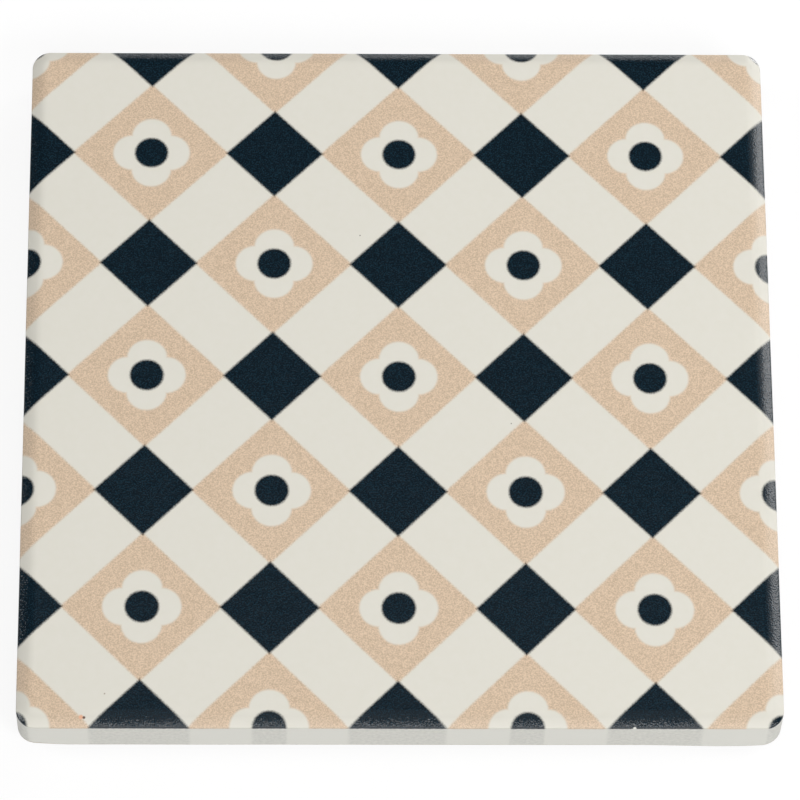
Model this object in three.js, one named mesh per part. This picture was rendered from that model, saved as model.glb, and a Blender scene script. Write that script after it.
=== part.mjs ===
// A square ceramic coaster: a pressed and glazed tile with a sheet of cork glued under it.
// Millimetres, +Z up. The origin is on the table, under the middle of the cork.

import * as THREE from "three";
import { toCreasedNormals } from "three/addons/utils/BufferGeometryUtils.js";

// Driving dimensions.
const tileSide = 100; // across the flats, both ways
const tileThickness = 7;
const tileFaceCornerRadius = 0.2; // of the flat top, in plan
const tileEaseRadius = 3.9; // where the flat top eases over into the shoulder
const tileEaseTurn = 20; // degrees
const tileSlopeRadius = 7.6; // the shoulder's slope, a little crowned
const tileSlopeTurn = 7; // degrees
const tileNoseRadius = 0.33; // where the slope turns down into the upright side
const tileBackRounding = 0.6; // the lower edge, rubbed down before firing
const corkThickness = 1.5;
const corkBorder = 3; // bare back of the tile that shows round the cork
const corkCornerRadius = 3; // in plan
const corkEdgeWear = 0.25; // rounding of the soft cut edge that meets the table
const filmThickness = 0.2;
const filmMargin = 0.4; // the glue stops short of the cork's edge

// Fineness of the round stretches.
const cornerSteps = 10;
const arcSteps = 5;
const creaseAngle = THREE.MathUtils.degToRad(30);

const upright = 90; // degrees, a side square to the faces

// Heights, from the table up.
const filmBase = corkThickness;
const tileBase = filmBase + filmThickness;

// The points of a square with rounded corners, counterclockwise from its +X side.
function roundedSquare(side, radius) {
  const quarterTurn = Math.PI / 2;
  const centre = side / 2 - radius;
  const points = [];
  for (let corner = 0; corner < 4; corner++) {
    const start = corner * quarterTurn;
    const middle = new THREE.Vector2(centre, centre).rotateAround(new THREE.Vector2(), start);
    for (let step = 0; step <= cornerSteps; step++) {
      const angle = start + (step / cornerSteps) * quarterTurn;
      points.push(new THREE.Vector2(Math.cos(angle), Math.sin(angle)).multiplyScalar(radius).add(middle));
    }
  }
  return points;
}

// The section of an edge as a chain of arcs, each running on from the last without a kink.
// Its points say how far out and how far down they lie from where the flat face ends.
function edgeSection(arcs) {
  const section = [{ reach: 0, drop: 0 }];
  let tilt = 0;
  for (const { radius, turn } of arcs) {
    const start = section.at(-1);
    for (let step = 1; step <= arcSteps; step++) {
      const angle = tilt + THREE.MathUtils.degToRad((turn * step) / arcSteps);
      section.push({
        reach: start.reach + radius * (Math.sin(angle) - Math.sin(tilt)),
        drop: start.drop + radius * (Math.cos(tilt) - Math.cos(angle)),
      });
    }
    tilt += THREE.MathUtils.degToRad(turn);
  }
  return section;
}

function edgeWidth(arcs) {
  return edgeSection(arcs).at(-1).reach;
}

// A square slab with rounded corners, lofted through one outline at each level of its edge.
// An edge with no arcs is left square.
function roundedSlab({ side, thickness, cornerRadius, lower = [], upper = [] }) {
  const levels = [
    ...edgeSection(lower).map(({ reach, drop }) => ({ inset: edgeWidth(lower) - reach, height: drop })),
    ...edgeSection(upper)
      .map(({ reach, drop }) => ({ inset: edgeWidth(upper) - reach, height: thickness - drop }))
      .reverse(),
  ];
  const rings = levels.map(({ inset, height }) => {
    const outline = roundedSquare(side - 2 * inset, cornerRadius - inset);
    return outline.map((point) => new THREE.Vector3(point.x, point.y, height));
  });
  const count = rings[0].length;
  const index = [];
  for (let level = 0; level + 1 < rings.length; level++) {
    for (let i = 0; i < count; i++) {
      const here = level * count + i;
      const next = level * count + ((i + 1) % count);
      index.push(here, next, next + count, here, next + count, here + count);
    }
  }
  const topStart = (rings.length - 1) * count;
  for (const [a, b, c] of THREE.ShapeUtils.triangulateShape(rings[0], [])) {
    index.push(c, b, a, topStart + a, topStart + b, topStart + c);
  }
  const slab = new THREE.BufferGeometry().setFromPoints(rings.flat()).setIndex(index);
  return toCreasedNormals(slab, creaseAngle);
}

function part(name, geometry, base, finish) {
  const mesh = new THREE.Mesh(geometry, new THREE.MeshStandardMaterial(finish));
  mesh.name = name;
  mesh.position.z = base;
  return mesh;
}

// The tile: dry-pressed earthenware under a satin glaze, flat on both faces. Its shoulder keeps one section
// all round, so each corner fans out from the small rounding of the flat top.
const tileShoulder = [
  { radius: tileEaseRadius, turn: tileEaseTurn },
  { radius: tileSlopeRadius, turn: tileSlopeTurn },
  { radius: tileNoseRadius, turn: upright - tileEaseTurn - tileSlopeTurn },
];
const ceramicTile = part(
  "ceramic_tile",
  roundedSlab({
    side: tileSide,
    thickness: tileThickness,
    cornerRadius: tileFaceCornerRadius + edgeWidth(tileShoulder),
    lower: [{ radius: tileBackRounding, turn: upright }],
    upper: tileShoulder,
  }),
  tileBase,
  { color: "#e1ded4", roughness: 0.35, metalness: 0 },
);

// The backing: a sheet of pressed cork granules, die-cut, as thick all over.
const corkSide = tileSide - 2 * corkBorder;
const corkBacking = part(
  "cork_backing",
  roundedSlab({
    side: corkSide,
    thickness: corkThickness,
    cornerRadius: corkCornerRadius,
    lower: [{ radius: corkEdgeWear, turn: upright }],
  }),
  0,
  { color: "#b58a5c", roughness: 0.9, metalness: 0 },
);

// The film of glue that holds the cork to the tile's bare back.
const adhesiveFilm = part(
  "adhesive_film",
  roundedSlab({
    side: corkSide - 2 * filmMargin,
    thickness: filmThickness,
    cornerRadius: corkCornerRadius - filmMargin,
  }),
  filmBase,
  { color: "#d9d2bf", roughness: 0.5, metalness: 0 },
);

const coaster = new THREE.Group();
coaster.add(ceramicTile, adhesiveFilm, corkBacking);

export default coaster;
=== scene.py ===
import math

import bmesh
import bpy
from mathutils import Matrix, Vector, noise


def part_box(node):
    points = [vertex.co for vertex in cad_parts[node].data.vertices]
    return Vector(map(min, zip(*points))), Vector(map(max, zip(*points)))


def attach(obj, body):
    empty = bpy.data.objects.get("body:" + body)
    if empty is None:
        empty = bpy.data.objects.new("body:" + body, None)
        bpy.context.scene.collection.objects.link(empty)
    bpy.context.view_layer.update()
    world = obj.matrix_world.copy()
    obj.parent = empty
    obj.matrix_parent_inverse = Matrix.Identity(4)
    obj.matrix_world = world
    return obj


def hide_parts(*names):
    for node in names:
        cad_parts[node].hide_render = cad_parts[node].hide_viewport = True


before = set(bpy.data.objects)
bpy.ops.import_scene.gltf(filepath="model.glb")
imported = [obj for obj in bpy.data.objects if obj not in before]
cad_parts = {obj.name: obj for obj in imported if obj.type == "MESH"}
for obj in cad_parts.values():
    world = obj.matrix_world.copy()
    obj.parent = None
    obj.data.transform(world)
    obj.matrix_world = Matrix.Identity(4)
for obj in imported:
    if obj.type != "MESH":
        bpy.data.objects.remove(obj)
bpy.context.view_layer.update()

mm = 0.001  # the frame is in metres, the sizes below are in millimetres
print("frame loaded:", sorted(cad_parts))


def linear(hexColour):  # sRGB hex to the linear colour a socket takes
    channels = [int(hexColour[i:i + 2], 16) / 255 for i in (1, 3, 5)]
    return [c / 12.92 if c <= 0.04045 else ((c + 0.055) / 1.055) ** 2.4 for c in channels] + [1.0]


def inUse(sockets, name=None):  # the first socket that a node shows, or the first one of that name
    return next(socket for socket in sockets if socket.enabled and name in (None, socket.name))


def connect(tree, node, inputs):  # gives a node's inputs their values or links
    for key, value in inputs.items():
        socket = inUse(node.inputs, key) if isinstance(key, str) else node.inputs[key]
        if isinstance(value, bpy.types.Node):
            value = inUse(value.outputs)
        if isinstance(value, bpy.types.NodeSocket):
            tree.links.new(value, socket)
        else:
            socket.default_value = value


def addNode(tree, kind, inputs=None, **settings):  # a node with its settings, values and links
    node = tree.nodes.new("ShaderNode" + kind)
    for name, value in settings.items():
        setattr(node, name, value)
    connect(tree, node, inputs or {})
    return node


def newMaterial(name):  # an empty material with its shader and a position in millimetres
    material = bpy.data.materials.new(name)
    material.use_nodes = True
    tree = material.node_tree
    tree.nodes.clear()
    shader = addNode(tree, "BsdfPrincipled")
    addNode(tree, "OutputMaterial", {"Surface": shader})
    position = addNode(tree, "TexCoord").outputs["Object"]
    inMillimetres = addNode(tree, "VectorMath", {0: position, "Scale": 1 / mm}, operation="SCALE")
    return material, tree, shader, inMillimetres


def newMesh(name, build):  # what was built, as a mesh
    mesh = bpy.data.meshes.new(name)
    build.to_mesh(mesh)
    build.free()
    return mesh


def newPiece(name, mesh, materials, body, node):  # a mesh as a piece that stands for a CAD node
    piece = bpy.data.objects.new(name, mesh)
    bpy.context.scene.collection.objects.link(piece)
    for material in materials:
        mesh.materials.append(material)
    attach(piece, body)
    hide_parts(node)


low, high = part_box("ceramic_tile")
tile = {
    "half": (high.x - low.x) / 2 / mm,
    "base": low.z / mm,
    "thickness": (high.z - low.z) / mm,
    "faceCornerRadius": 0.2,
    # the upper edge is a chain of arcs, each with its radius and the tilt where it ends:
    # the flat top eases over, slopes outwards and turns down into the side at a small nose
    "shoulder": ((3.9, 20.0), (7.6, 27.0), (0.33, 90.0)),
    "backRounding": 0.6,
    # places where the lower edge was rubbed down more or less, how far each reaches and by how much
    "rubbed": (
        ((-47.8, -49.6), 3.5, 0.7),
        ((42.0, -50.0), 10.0, -0.54),
        ((48.8, -49.0), 3.0, 0.6),
    ),
    "cornerSteps": 14,
    "sideSteps": 48,
    "arcSteps": 6,
    "wander": 0.05,  # how far the pressed sides wander in from true
    "wanderLength": 17.0,
    "wanderSlice": 3.7,  # level at which the noise of the wander is cut
    # squares of the bake map, each with its middle and half its width
    "faceMap": (0.44, 0.43),  # top and sides
    "backMap": (0.94, 0.05),
}

# The print: sand squares on point with a cream four-petal flower and a navy dot, navy squares between
# them, cream oblongs in the gaps. All of it follows one diagonal grid.
printed = {
    "pitch": 16.807,  # from a flower to the next navy square
    "sandHalf": 10.548,  # half a diagonal
    "navyHalf": 6.574,
    "petalReach": 2.52,  # flower's middle to a petal's middle
    "petalRadius": 2.66,
    "dotRadius": 2.253,
    "flowerShift": (0.09, 0.015),  # second plate set down a touch to the right
    "turn": -0.303,  # degrees, how far askew the sheet was laid on the tile
    "shift": (-0.056, 0.301),  # and how far off its middle
    "creep": 0.1,  # how far the sheet crept at its ends under the press
    "bleed": 0.24,  # soft border of the ink
    "grain": 0.18,  # ink grain, drawn coarse enough to show
    "edgeGrain": 0.16,  # how far the grain eats into an ink border
    "toneRange": (0.25, 0.75),  # grain from an ink's dark tone to its light one
    "sandLight": "#E5CDB3",
    "sandDark": "#C7B096",
    "navyLight": "#162D39",
    "navyDark": "#0A1821",
    "navyGlint": 2.0,  # partly painted glints: power that leaves the light navy of the ink grain to the grain's peaks
    "cream": "#E3E0D6",
    "creamShade": "#E0DDD1",
    "creamCloud": 1.0,  # size of the patches that are shaded
    "speck": "#8E8A80",
    "speckSpacing": 5.0,
    "speckRadius": 0.11,
    "speckless": 0.7,  # share of those places without one
    "shoulderShade": "#F8F8F8",  # painted shade: the print's colour is darkened a little over the shoulder and down the side
    "shoulderDrop": 0.13,  # how far below the flat top it is in full
    "end": 5.98,  # height above the tile's back where the print stops
    "endWander": 0.22,  # how far that line strays
    "endWanderLength": 0.5,
    "endBlur": 0.05,
    "bareGlaze": "#E6E5DD",
    "ghost": 0.125,  # share of navy that gassed onto the side below the print
    "ghostRange": (0.3, 0.7),  # noise from its thinnest to its densest dust
    "ghostSpread": (0.4, 1.6),  # and what these are of that share
    "creamRoughness": 0.55,  # the more ink, the glossier
    "sandRoughness": 0.36,
    "navyRoughness": 0.15,
    "ior": 1.52,
    "ripple": 0.03,  # slow waves of the glaze
    "rippleLength": 2.5,
    "grainHeight": 0.012,
    "bareGrain": 0.15,  # share of that height where there is no ink
    "stretched": 2.7,  # how much rougher the ink stands on the shoulder
}

# Small flaws: where each lies from the tile's middle and how far below its flat top.
flaws = {
    "chippedInk": {"at": (30.45, -49.95, 0.85), "radius": 0.3, "colour": "#E6E5DD"},
    "rustBloom": {"at": (-41.47, -48.72, 0.16), "radius": 0.38, "colour": "#E3AE8E"},
    "rustGrain": {"at": (-41.08, -48.78, 0.18), "radius": 0.24, "colour": "#5E4030"},
    "pinhole": {"at": (-38.46, -45.5, 0.0), "radius": 0.14, "colour": "#A79C8C"},
}
flawCore = 0.5  # share of a flaw's radius that has its full colour


def inked(tree, distance, grain):  # 1 inside a printed shape and 0 outside, with a grainy soft border
    eaten = addNode(tree, "Math", {
        0: grain, 1: printed["edgeGrain"], 2: distance}, operation="MULTIPLY_ADD")
    return addNode(tree, "MapRange", {
        "Value": eaten, "From Min": -printed["bleed"], "From Max": printed["bleed"],
        "To Min": 1.0, "To Max": 0.0}, interpolation_type="SMOOTHSTEP")


def folded(tree, place):  # how far a place lies from the middle along its two axes, the farther first
    fold = addNode(tree, "VectorMath", {0: place}, operation="ABSOLUTE")
    sides = addNode(tree, "SeparateXYZ", {0: fold})
    both = {0: sides.outputs["X"], 1: sides.outputs["Y"]}
    return [addNode(tree, "Math", both, operation=pick) for pick in ("MAXIMUM", "MINIMUM")]


def inkShapes(tree, place, grain):  # how much sand and how much navy lies at a place of the print
    # diagonal grid: each repeat runs from -0.5 to 0.5 both ways, with a flower at its middle
    step = math.sqrt(2) * printed["pitch"]
    turn = math.radians(45)
    diagonal = addNode(tree, "Mapping", {
        "Vector": place, "Rotation": (0, 0, -turn), "Scale": (1 / step, 1 / step, 1)})
    repeat = addNode(tree, "VectorMath", {0: diagonal, 1: (0.5,) * 3, 2: (-0.5,) * 3}, operation="WRAP")
    farther, nearer = folded(tree, repeat)
    sandHalf = printed["sandHalf"] / math.sqrt(2)
    navyStart = (printed["pitch"] - printed["navyHalf"]) / math.sqrt(2)
    sandEdge = addNode(tree, "Math", {0: farther, 1: step, 2: -sandHalf}, operation="MULTIPLY_ADD")
    navyEdge = addNode(tree, "Math", {0: nearer, 1: -step, 2: navyStart}, operation="MULTIPLY_ADD")

    # flower and dot, measured from the repeat's middle in millimetres
    local = addNode(tree, "Mapping", {
        "Vector": repeat, "Rotation": (0, 0, turn), "Scale": (step, step, 0),
        "Location": [-s for s in printed["flowerShift"]] + [0]})
    along, across = folded(tree, local)
    fromPetal = addNode(tree, "Math", {0: along, 1: printed["petalReach"]}, operation="SUBTRACT")
    petalPoint = addNode(tree, "CombineXYZ", {"X": fromPetal, "Y": across})
    petalSpan = addNode(tree, "VectorMath", {0: petalPoint}, operation="LENGTH")
    petalEdge = addNode(tree, "Math", {0: petalSpan, 1: printed["petalRadius"]}, operation="SUBTRACT")
    dotSpan = addNode(tree, "VectorMath", {0: local}, operation="LENGTH")
    dotEdge = addNode(tree, "Math", {0: dotSpan, 1: printed["dotRadius"]}, operation="SUBTRACT")

    sandSquare, navySquare, flower, dot = (
        inked(tree, edge, grain) for edge in (sandEdge, navyEdge, petalEdge, dotEdge))
    outsideFlower = addNode(tree, "Math", {0: 1.0, 1: flower}, operation="SUBTRACT")
    sand = addNode(tree, "Math", {0: sandSquare, 1: outsideFlower}, operation="MULTIPLY")
    navy = addNode(tree, "Math", {0: navySquare, 1: dot}, operation="MAXIMUM")
    return sand, navy


def printTones(tree, position, fine, sand, navy):  # the colour of the flat top, and that of the navy ink
    # the grain mixes a light and a dark tone of each ink
    darkest, lightest = printed["toneRange"]
    tone = addNode(tree, "MapRange", {"Value": fine, "From Min": darkest, "From Max": lightest})
    # partly ink grain, partly painted glints: the light navy only at the peaks of the grain
    glint = addNode(tree, "Math", {0: tone, 1: printed["navyGlint"]}, operation="POWER")
    sandTone = addNode(tree, "Mix", {
        "Factor": tone, "A": linear(printed["sandDark"]), "B": linear(printed["sandLight"]),
    }, data_type="RGBA")
    navyTone = addNode(tree, "Mix", {
        "Factor": glint, "A": linear(printed["navyDark"]), "B": linear(printed["navyLight"]),
    }, data_type="RGBA")
    cloud = addNode(tree, "TexNoise", {
        "Vector": position, "Scale": 1 / printed["creamCloud"], "Detail": 2.0})
    creamTone = addNode(tree, "Mix", {
        "Factor": cloud, "A": linear(printed["cream"]), "B": linear(printed["creamShade"]),
    }, data_type="RGBA")

    # rare mineral specks in the glaze
    cells = addNode(tree, "TexVoronoi", {"Vector": position, "Scale": 1 / printed["speckSpacing"]})
    cellDraw = addNode(tree, "SeparateColor", {0: cells.outputs["Color"]})
    speckSize = addNode(tree, "MapRange", {
        "Value": cellDraw, "From Min": printed["speckless"], "From Max": 1.0,
        "To Min": 0.0, "To Max": printed["speckRadius"] / printed["speckSpacing"]})
    speck = addNode(tree, "Math", {0: cells.outputs["Distance"], 1: speckSize}, operation="LESS_THAN")
    glaze = addNode(tree, "Mix", {
        "Factor": speck, "A": creamTone, "B": linear(printed["speck"])}, data_type="RGBA")

    withSand = addNode(tree, "Mix", {"Factor": sand, "A": glaze, "B": sandTone}, data_type="RGBA")
    withNavy = addNode(tree, "Mix", {"Factor": navy, "A": withSand, "B": navyTone}, data_type="RGBA")
    return withNavy, navyTone


# Satin glaze on pressed earthenware with a heat-transferred print: smooth cream, grainy sand and navy,
# a broad soft shine on the rounded edge that breaks into fine glints where there is ink.
def printedGlaze():
    material, tree, shader, position = newMaterial("glazed earthenware, heat-transfer print")
    # the place on the sheet of print, which crept most at its ends
    laid = addNode(tree, "Attribute", attribute_name="printPlace").outputs["Vector"]
    squared = addNode(tree, "VectorMath", {0: laid, 1: laid}, operation="MULTIPLY")
    creep = printed["creep"] / tile["half"] ** 2
    place = addNode(tree, "VectorMath", {
        0: squared, 1: (creep, creep, 0), 2: laid}, operation="MULTIPLY_ADD")
    height = addNode(tree, "SeparateXYZ", {0: position}).outputs["Z"]
    fine = addNode(tree, "TexNoise", {
        "Vector": position, "Scale": 1 / printed["grain"], "Detail": 0.0})
    grain = addNode(tree, "Math", {0: fine, 1: 0.5}, operation="SUBTRACT")  # from -0.5 to 0.5
    sand, navy = inkShapes(tree, place, grain)
    flatTone, navyTone = printTones(tree, position, fine, sand, navy)

    # painted shade: the print's colour is darkened a little from just below the flat top outwards, over the
    # shoulder
    top = tile["base"] + tile["thickness"]
    onShoulder = addNode(tree, "MapRange", {
        "Value": height, "From Min": top - printed["shoulderDrop"], "From Max": top,
        "To Min": 1.0, "To Max": 0.0})
    printTone = addNode(tree, "Mix", {
        "Factor": onShoulder, "A": flatTone, "B": linear(printed["shoulderShade"]),
    }, data_type="RGBA", blend_type="MULTIPLY")

    # the print stops in a slightly ragged line on the side, and a trace of it shows below
    ragged = addNode(tree, "TexNoise", {
        "Vector": position, "Scale": 1 / printed["endWanderLength"], "Detail": 3.0})
    line = addNode(tree, "Math", {0: ragged, 1: printed["endWander"], 2: height}, operation="MULTIPLY_ADD")
    end = tile["base"] + printed["end"] + printed["endWander"] / 2
    covered = addNode(tree, "MapRange", {
        "Value": line, "From Min": end - printed["endBlur"], "From Max": end + printed["endBlur"],
    }, interpolation_type="SMOOTHSTEP")
    thinnest, densest = printed["ghostRange"]
    least, most = (share * printed["ghost"] for share in printed["ghostSpread"])
    dusty = addNode(tree, "MapRange", {
        "Value": ragged, "From Min": thinnest, "From Max": densest, "To Min": least, "To Max": most})
    traced = addNode(tree, "Math", {0: navy, 1: dusty}, operation="MULTIPLY")
    side = addNode(tree, "Mix", {
        "Factor": traced, "A": linear(printed["bareGlaze"]), "B": navyTone}, data_type="RGBA")
    colour = addNode(tree, "Mix", {"Factor": covered, "A": side, "B": printTone}, data_type="RGBA")
    for flaw in flaws.values():
        x, y, drop = flaw["at"]
        away = addNode(tree, "VectorMath", {0: position, 1: (x, y, top - drop)}, operation="DISTANCE")
        here = addNode(tree, "MapRange", {
            "Value": away, "From Min": flawCore * flaw["radius"], "From Max": flaw["radius"],
            "To Min": 1.0, "To Max": 0.0})
        colour = addNode(tree, "Mix", {
            "Factor": here, "A": colour, "B": linear(flaw["colour"])}, data_type="RGBA")

    # ink stands a little rough on the glaze, more so on the shoulder, and shines more
    ink = addNode(tree, "Math", {0: sand, 1: navy}, operation="MAXIMUM")
    sandHere, navyHere, inkHere = (
        addNode(tree, "Math", {0: layer, 1: covered}, operation="MULTIPLY") for layer in (sand, navy, ink))
    relief = addNode(tree, "MapRange", {
        "Value": inkHere, "To Min": printed["bareGrain"], "To Max": 1.0})
    stretched = addNode(tree, "MapRange", {
        "Value": onShoulder, "To Min": 1.0, "To Max": printed["stretched"]})
    uneven = addNode(tree, "Math", {0: relief, 1: stretched}, operation="MULTIPLY")
    bumps = addNode(tree, "Math", {0: grain, 1: uneven}, operation="MULTIPLY")
    slow = addNode(tree, "TexNoise", {
        "Vector": position, "Scale": 1 / printed["rippleLength"], "Detail": 1.0})
    waves = addNode(tree, "Bump", {"Strength": 1.0, "Distance": printed["ripple"] * mm, "Height": slow})
    bump = addNode(tree, "Bump", {
        "Strength": 1.0, "Distance": printed["grainHeight"] * mm, "Height": bumps, "Normal": waves})
    dull = addNode(tree, "Mix", {
        "Factor": sandHere, "A": printed["creamRoughness"], "B": printed["sandRoughness"]})
    rough = addNode(tree, "Mix", {"Factor": navyHere, "A": dull, "B": printed["navyRoughness"]})
    connect(tree, shader, {
        "Base Color": colour, "Roughness": rough, "IOR": printed["ior"], "Normal": bump})
    return material


biscuit = {
    "colour": "#DDD5C6",
    "pore": "#B9AE9C",
    "poreSpacing": 0.9,
    "poreRange": (0.08, 0.3),  # from a pore's floor to its rim, as shares of that spacing
    "poreDepth": 0.05,
    "poreStrength": 0.6,
    "cloud": 4.0,  # size of its paler and darker patches
    "toneRange": (0.1, 0.55),  # from the darkest tone, painted shade in the pores, to the biscuit's own
    "roughness": 0.85,
}


# Bare fired earthenware on the back, never glazed: chalky, with fine pores from the pressing.
def bareBiscuit():
    material, tree, shader, position = newMaterial("bare fired earthenware, pressed")
    pores = addNode(tree, "TexVoronoi", {"Vector": position, "Scale": 1 / biscuit["poreSpacing"]})
    poreFloor, poreRim = biscuit["poreRange"]
    solid = addNode(tree, "MapRange", {"Value": pores, "From Min": poreFloor, "From Max": poreRim})
    cloud = addNode(tree, "TexNoise", {"Vector": position, "Scale": 1 / biscuit["cloud"], "Detail": 4.0})
    # painted shade darkens the biscuit into its pores; the cloud adds random paler and darker patches
    depth = addNode(tree, "Math", {0: solid, 1: cloud}, operation="MULTIPLY")
    darkest, lightest = biscuit["toneRange"]
    tone = addNode(tree, "MapRange", {"Value": depth, "From Min": darkest, "From Max": lightest})
    colour = addNode(tree, "Mix", {
        "Factor": tone, "A": linear(biscuit["pore"]), "B": linear(biscuit["colour"])}, data_type="RGBA")
    bump = addNode(tree, "Bump", {
        "Strength": biscuit["poreStrength"], "Distance": biscuit["poreDepth"] * mm, "Height": depth})
    connect(tree, shader, {"Base Color": colour, "Roughness": biscuit["roughness"], "Normal": bump})
    return material


# Points round a square with rounded corners, each with its outward direction.
def outline(half, radius, cornerSteps, sideSteps):
    points = []
    for corner in range(4):
        start = corner * math.pi / 2
        spin = Matrix.Rotation(start, 2)
        for step in range(cornerSteps + 1):
            angle = step / cornerSteps * math.pi / 2
            out = Vector((math.cos(angle), math.sin(angle)))
            points.append((spin @ (Vector((half - radius, half - radius)) + out * radius), spin @ out))
        for step in range(1, sideSteps):
            along = half - radius - 2 * (half - radius) * step / sideSteps
            points.append((spin @ Vector((along, half)), spin @ Vector((0, 1))))
    return points


def printPlace(point):  # where a spot of the tile lies on the print, in millimetres from a flower's middle
    turned = Matrix.Rotation(math.radians(-printed["turn"]), 2) @ (point - Vector(printed["shift"]))
    return turned.to_3d()


# An edge's section is a list of points, each with its reach outwards, its height and its tilt.
def addArc(section, radius, stop):  # carries a section on in an arc
    reach, level, start = section[-1]
    for step in range(1, tile["arcSteps"] + 1):
        tilt = start + (stop - start) * step / tile["arcSteps"]
        section.append((
            reach + radius * (math.sin(tilt) - math.sin(start)),
            level - radius * (math.cos(start) - math.cos(tilt)),
            tilt,
        ))


# The glazed edge from the flat top to the foot of the side, and the bare rounding below it.
def edgeSections(rounding):
    glazed = [(0.0, tile["thickness"], 0.0)]
    for radius, end in tile["shoulder"]:
        addArc(glazed, radius, math.radians(end))
    width, sideTop, upright = glazed[-1]
    glazed += [(width, (sideTop + rounding) / 2, upright), (width, rounding, upright)]
    bare = glazed[-1:]
    addArc(bare, rounding, math.pi)
    return glazed, bare[1:]


def roundingAt(point):  # the lower edge's rounding at a place
    extra = [more * max(0.0, 1 - (point - Vector(at)).length / reach) for at, reach, more in tile["rubbed"]]
    return tile["backRounding"] + sum(extra)


def tileMesh():
    half = tile["half"]
    glazed, bare = edgeSections(tile["backRounding"])
    section = glazed + bare
    width = glazed[-1][0]
    edge = outline(half - width, tile["faceCornerRadius"], tile["cornerSteps"], tile["sideSteps"])
    count = len(edge)
    runs = [0.0]  # distance along the section
    for here, last in zip(section[1:], section):
        runs.append(runs[-1] + math.hypot(here[0] - last[0], here[1] - last[1]))
    # each point of the outline has a section with its own rounding
    sections = [sum(edgeSections(roundingAt(point + out * width)), []) for point, out in edge]

    build = bmesh.new()
    placeLayer = build.verts.layers.float_vector.new("printPlace")
    mapLayer = build.loops.layers.uv.new("OFBake")
    faceMiddle, faceReach = tile["faceMap"]
    backMiddle, backReach = tile["backMap"]
    faceScale = faceReach / (half - width + runs[len(glazed) - 1])
    backScale = backReach / half
    normals, facePlaces, backPlaces, rings = [], [], [], []
    for row, run in enumerate(runs):
        ring = []
        for (point, out), ownSection in zip(edge, sections):
            reach, level, tilt = ownSection[row]
            wave = noise.noise((point / tile["wanderLength"]).to_3d() + Vector((0, 0, tile["wanderSlice"])))
            sunk = tile["wander"] * (0.5 + 0.5 * wave) * math.sin(tilt)
            spot = point + out * (reach - sunk)
            vert = build.verts.new((spot.x * mm, spot.y * mm, (tile["base"] + level) * mm))
            vert[placeLayer] = printPlace(point + out * reach)
            ring.append(vert)
            normals.append((out * math.sin(tilt)).to_3d() + Vector((0, 0, math.cos(tilt))))
            facePlaces.append((point + out * run) * faceScale + Vector((faceMiddle, faceMiddle)))
            backPlaces.append(spot * backScale + Vector((backMiddle, backMiddle)))
        rings.append(ring)
    build.verts.index_update()
    for level, (upper, lower) in enumerate(zip(rings, rings[1:])):
        for i in range(count):
            j = (i + 1) % count
            face = build.faces.new((upper[i], lower[i], lower[j], upper[j]))
            face.material_index = 0 if level < len(glazed) - 1 else 1
    build.faces.new(rings[0]).material_index = 0
    build.faces.new(rings[-1][::-1]).material_index = 1
    for face in build.faces:
        face.smooth = True
        places = facePlaces if face.material_index == 0 else backPlaces
        for loop in face.loops:
            loop[mapLayer].uv = places[loop.vert.index]
    mesh = newMesh("ceramic_tile_glazed", build)
    mesh.normals_split_custom_set_from_vertices([n.normalized() for n in normals])
    return mesh


newPiece("glazed_tile", tileMesh(), [printedGlaze(), bareBiscuit()], "root", "ceramic_tile")
print("tile made:", round(tile["half"] * 2, 2), "mm square")

low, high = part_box("cork_backing")
cork = {
    "half": (high.x - low.x) / 2 / mm,
    "thickness": (high.z - low.z) / mm,
    "cornerRadius": 3.0,
    "edgeWear": 0.25,
    "wearBend": 0.3,  # share of the wear that is left halfway round it
    "cornerSteps": 8,
    "sideSteps": 120,
    "levels": (0.55, 0.85, 1.2),  # heights on the cut side at which granules are torn out
    "tornDepth": 0.16,
    "tornShare": 0.4,  # the higher, the more of the cut side is torn
    "granule": 1.3,
    "swirl": 0.8,  # length of the waves in the granules' outlines
    "bend": 0.5,  # and how far they bend these
    "light": "#C79A66",
    "middle": "#A9774A",
    "dark": "#6E4527",
    "barkDraw": (0.82, 0.95),  # draw from which a granule has bark in it, and from which it is all bark
    "cells": 0.2,  # cork's own cells, drawn coarse enough to show
    "cellRange": (0.25, 0.75),
    "cellTint": 0.35,
    "pit": "#40281A",
    "seamWidth": 0.09,  # share of a granule
    "seamDark": 0.75,
    "reliefDepth": 0.12,
    "reliefStrength": 0.8,
    "roughness": 0.88,
}


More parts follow.
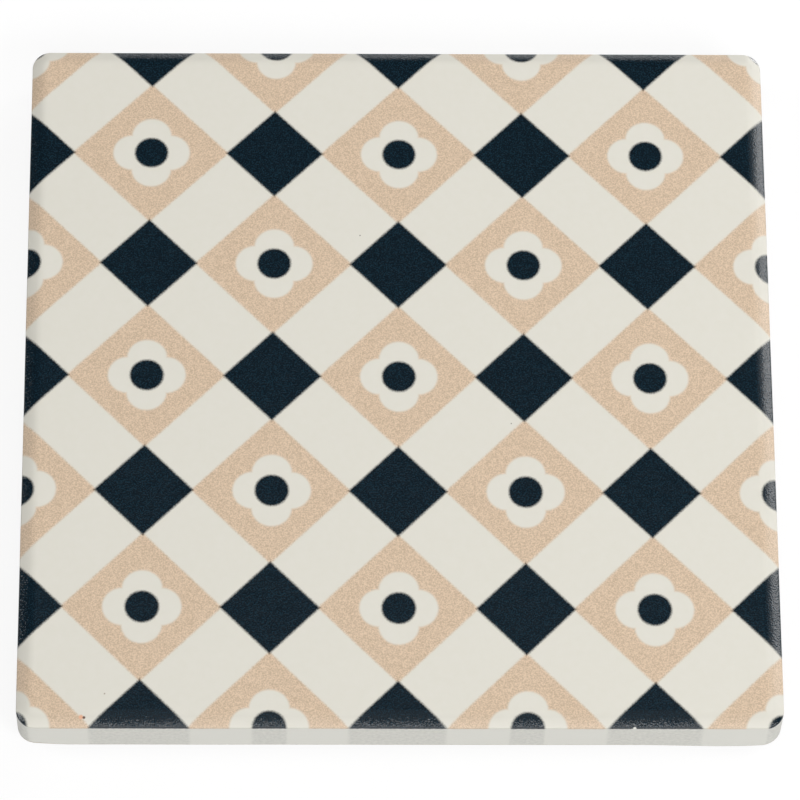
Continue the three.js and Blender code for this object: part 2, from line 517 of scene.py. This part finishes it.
# Agglomerated cork, pressed from granules and sanded: a mosaic of tan and brown grains
# with dark gaps and pits.
def corkSheet():
    material, tree, shader, position = newMaterial("agglomerated cork, sanded")
    swirl = addNode(tree, "TexNoise", {"Vector": position, "Scale": 1 / cork["swirl"], "Detail": 2.0})
    bent = addNode(tree, "VectorMath", {
        0: swirl.outputs["Color"], 1: (cork["bend"],) * 3, 2: position}, operation="MULTIPLY_ADD")
    mosaic = {"Vector": bent, "Scale": 1 / cork["granule"]}
    grains = addNode(tree, "TexVoronoi", mosaic)
    gaps = addNode(tree, "TexVoronoi", mosaic, feature="DISTANCE_TO_EDGE")
    draw = addNode(tree, "SeparateColor", {0: grains.outputs["Color"]})
    body = addNode(tree, "Mix", {
        "Factor": draw.outputs["Red"], "A": linear(cork["middle"]), "B": linear(cork["light"]),
    }, data_type="RGBA")
    someBark, allBark = cork["barkDraw"]
    bark = addNode(tree, "MapRange", {
        "Value": draw.outputs["Green"], "From Min": someBark, "From Max": allBark})
    mixed = addNode(tree, "Mix", {"Factor": bark, "A": body, "B": linear(cork["dark"])}, data_type="RGBA")
    cells = addNode(tree, "TexNoise", {"Vector": position, "Scale": 1 / cork["cells"], "Detail": 2.0})
    faintest, fullest = cork["cellRange"]
    mottle = addNode(tree, "MapRange", {
        "Value": cells, "From Min": faintest, "From Max": fullest,
        "To Min": 0.0, "To Max": cork["cellTint"]})
    shaded = addNode(tree, "Mix", {
        "Factor": mottle, "A": mixed, "B": linear(cork["middle"])}, data_type="RGBA")
    seam = addNode(tree, "MapRange", {
        "Value": gaps, "From Min": 0.0, "From Max": cork["seamWidth"],
        "To Min": cork["seamDark"], "To Max": 0.0})
    colour = addNode(tree, "Mix", {"Factor": seam, "A": shaded, "B": linear(cork["pit"])}, data_type="RGBA")
    relief = addNode(tree, "Math", {0: cells, 1: seam}, operation="SUBTRACT")
    bump = addNode(tree, "Bump", {
        "Strength": cork["reliefStrength"], "Distance": cork["reliefDepth"] * mm, "Height": relief})
    connect(tree, shader, {"Base Color": colour, "Roughness": cork["roughness"], "Normal": bump})
    return material


def corkMesh():
    edge = outline(cork["half"], cork["cornerRadius"], cork["cornerSteps"], cork["sideSteps"])
    count = len(edge)
    wear = cork["edgeWear"]
    levels = [(wear, 0.0), (wear * cork["wearBend"], wear * cork["wearBend"]), (0.0, wear)]
    levels += [(0.0, level) for level in cork["levels"]] + [(0.0, cork["thickness"])]
    build = bmesh.new()
    rings = []
    for inset, level in levels:
        ring = []
        for point, out in edge:
            wave = noise.noise(Vector((point.x, point.y, level)) / cork["granule"])
            torn = cork["tornDepth"] * max(0.0, cork["tornShare"] + wave)
            spot = point - out * (inset + torn)
            ring.append(build.verts.new((spot.x * mm, spot.y * mm, level * mm)))
        rings.append(ring)
    for lower, upper in zip(rings, rings[1:]):
        for i in range(count):
            j = (i + 1) % count
            build.faces.new((lower[i], lower[j], upper[j], upper[i])).smooth = True
    build.faces.new(rings[0][::-1])
    build.faces.new(rings[-1])
    return newMesh("cork_sheet_cut", build)


newPiece("cork_sheet", corkMesh(), [corkSheet()], "root", "cork_backing")
print("cork made:", round(cork["half"] * 2, 2), "mm square")

glue = {"colour": "#D8CFB8", "dull": "#C9BD9F", "streak": 2.5, "roughness": 0.45}


# Dried contact glue, rolled on: a pale waxy film that only shows as a line between tile and cork.
def glueFilm():
    material, tree, shader, position = newMaterial("dried contact glue, rolled")
    streak = addNode(tree, "TexNoise", {"Vector": position, "Scale": 1 / glue["streak"], "Detail": 3.0})
    colour = addNode(tree, "Mix", {
        "Factor": streak, "A": linear(glue["colour"]), "B": linear(glue["dull"])}, data_type="RGBA")
    connect(tree, shader, {"Base Color": colour, "Roughness": glue["roughness"]})
    return material


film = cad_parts["adhesive_film"]
film.data.materials.clear()
film.data.materials.append(glueFilm())
print("glue film dressed")

floor = {
    "reach": 30.0,  # metres
    "segments": 8,
    "colour": "#6E6E6E",  # what the lamps light up
    "glowColour": "#FFFFFF",
    "glow": 0.86,  # the rest of its white
}


# Matt white studio board: it takes the shadow, and most of its white shows only to the eye
# and in reflections, so that it throws little light back.
def studioFloor():
    material, tree, shader = newMaterial("matt white studio board")[:3]
    path = addNode(tree, "LightPath").outputs
    seen = addNode(tree, "Math", {0: path["Is Camera Ray"], 1: path["Is Glossy Ray"]}, operation="MAXIMUM")
    shown = addNode(tree, "Math", {0: seen, 1: path["Is Transmission Ray"]}, operation="MAXIMUM")
    glow = addNode(tree, "Math", {0: shown, 1: floor["glow"]}, operation="MULTIPLY")
    connect(tree, shader, {
        "Base Color": linear(floor["colour"]), "Roughness": 1.0, "Specular IOR Level": 0.0,
        "Emission Color": linear(floor["glowColour"]), "Emission Strength": glow})
    return material


floorGrid = bmesh.new()
bmesh.ops.create_grid(
    floorGrid, x_segments=floor["segments"], y_segments=floor["segments"], size=floor["reach"])
floorMesh = newMesh("studio_floor", floorGrid)
floorMesh.materials.append(studioFloor())
floorBoard = bpy.data.objects.new("studio_floor", floorMesh)
bpy.context.scene.collection.objects.link(floorBoard)
print("floor laid")

# Lamps as seen from the coaster: azimuth from +X towards +Y, elevation and spread in degrees, and how
# bright each looks with white at 1. Those with a distance are panels that many metres off, the others
# round and far.
lamps = {
    "rightLow": {"azimuth": 57, "elevation": 12, "spread": (24, 12), "level": 15.6, "distance": 1.2},
    "rightPanel": {"azimuth": 33, "elevation": 29, "spread": (22, 22), "level": 4.9, "distance": 1.2},
    "rightRim": {"azimuth": 40, "elevation": 44, "spread": (24, 8), "level": 1.4, "distance": 1.2},
    "rightFade": {"azimuth": 48, "elevation": 53, "spread": (24, 10), "level": 0.5, "distance": 1.2},
    "frontRight": {"azimuth": -51, "elevation": 38, "spread": (20, 20), "level": 11.6, "distance": 1.2},
    "frontPanel": {"azimuth": -89, "elevation": 56, "spread": (7, 9), "level": 7.7, "distance": 1.5},
    "frontFade": {"azimuth": -89, "elevation": 75, "spread": (22, 16), "level": 0.46, "distance": 1.5},
    "front": {"azimuth": -92, "elevation": 28, "spread": 60, "level": 1.65},
    "left": {"azimuth": -179, "elevation": 35, "spread": 32, "level": 4.3},
    "overhead": {"azimuth": 88, "elevation": 82, "spread": 30, "level": 0.28},
    "backLow": {"azimuth": 85, "elevation": 9, "spread": 16, "level": 2.8},
    "backHigh": {"azimuth": 87, "elevation": 22, "spread": 12, "level": 0.5},
}
farMarker = 2.0  # metres, where a far lamp's marker stands
for name, lamp in lamps.items():
    turn = math.radians(lamp["azimuth"])
    rise = math.radians(lamp["elevation"])
    towards = Vector((math.cos(turn) * math.cos(rise), math.sin(turn) * math.cos(rise), math.sin(rise)))
    if "distance" in lamp:
        light = bpy.data.lights.new(name, "AREA")
        light.shape = "RECTANGLE"
        light.size, light.size_y = (
            2 * lamp["distance"] * math.tan(math.radians(angle / 2)) for angle in lamp["spread"])
        light.energy = lamp["level"] * math.pi * light.size * light.size_y
    else:
        light = bpy.data.lights.new(name, "SUN")
        light.angle = math.radians(lamp["spread"])
        light.energy = lamp["level"] * math.pi * math.sin(light.angle / 2) ** 2
    holder = bpy.data.objects.new(name, light)
    holder.location = towards * lamp.get("distance", farMarker)
    holder.rotation_euler = towards.to_track_quat("Z", "Y").to_euler()
    holder.visible_camera = False
    bpy.context.scene.collection.objects.link(holder)

# Surroundings: they light the coaster as a pale band at the horizon that dims overhead,
# and look white to the eye.
surround = {
    "colour": "#FFFFFF",
    "horizon": 0.8,
    "overhead": 0.032,
    "bandTop": 0.12,  # sine of the elevation where the band ends
    "backdrop": 0.94,  # how white it looks
}
world = bpy.data.worlds.new("studio")
world.use_nodes = True
worldTree = world.node_tree
worldTree.nodes.clear()
direction = addNode(worldTree, "TexCoord").outputs["Generated"]
skyHeight = addNode(worldTree, "SeparateXYZ", {0: direction}).outputs["Z"]
skyLevel = addNode(worldTree, "MapRange", {
    "Value": skyHeight, "From Min": 0.0, "From Max": surround["bandTop"],
    "To Min": surround["horizon"], "To Max": surround["overhead"]})
seen = addNode(worldTree, "LightPath").outputs["Is Camera Ray"]
backdrop = addNode(worldTree, "Math", {0: seen, 1: surround["backdrop"]}, operation="MULTIPLY")
shown = addNode(worldTree, "Math", {0: skyLevel, 1: backdrop}, operation="MAXIMUM")
background = addNode(worldTree, "Background", {"Color": linear(surround["colour"]), "Strength": shown})
addNode(worldTree, "OutputWorld", {"Surface": background})
bpy.context.scene.world = world
print("lamps and surroundings set")

# Camera: matched to the print's grid and the tile's outline in the photograph.
camera = {
    "lens": 251.76,
    "sensor": 36,
    "elevation": 64.52,  # degrees, like the next two
    "yaw": -2.2074,
    "roll": 2.1157,
    "distance": 753.708,  # to the look point
    "lookPoint": (0.2946, 0.1931, tile["base"]),
    "nearest": 0.01,  # metres, what it sees begins and ends here
    "farthest": 200,
}
elevation, yaw, roll = (math.radians(camera[k]) for k in ("elevation", "yaw", "roll"))
reach = math.cos(elevation)  # share of the distance that runs level
backward = Vector((math.sin(yaw) * reach, -math.cos(yaw) * reach, math.sin(elevation)))
rightward = Vector((math.cos(yaw), math.sin(yaw), 0))
upward = backward.cross(rightward)
rolledRight = rightward * math.cos(roll) + upward * math.sin(roll)
rolledUp = upward * math.cos(roll) - rightward * math.sin(roll)
eye = (Vector(camera["lookPoint"]) + backward * camera["distance"]) * mm
lens = bpy.data.cameras.new("studio_camera")
lens.sensor_width = camera["sensor"]
lens.sensor_fit = "HORIZONTAL"
lens.lens = camera["lens"]
lens.clip_start = camera["nearest"]
lens.clip_end = camera["farthest"]
viewer = bpy.data.objects.new("studio_camera", lens)
axes = Matrix((rolledRight, rolledUp, backward)).transposed()
viewer.matrix_world = Matrix.Translation(eye) @ axes.to_4x4()
bpy.context.scene.collection.objects.link(viewer)
bpy.context.scene.camera = viewer
bpy.context.scene.view_settings.view_transform = "Standard"
print("camera placed")
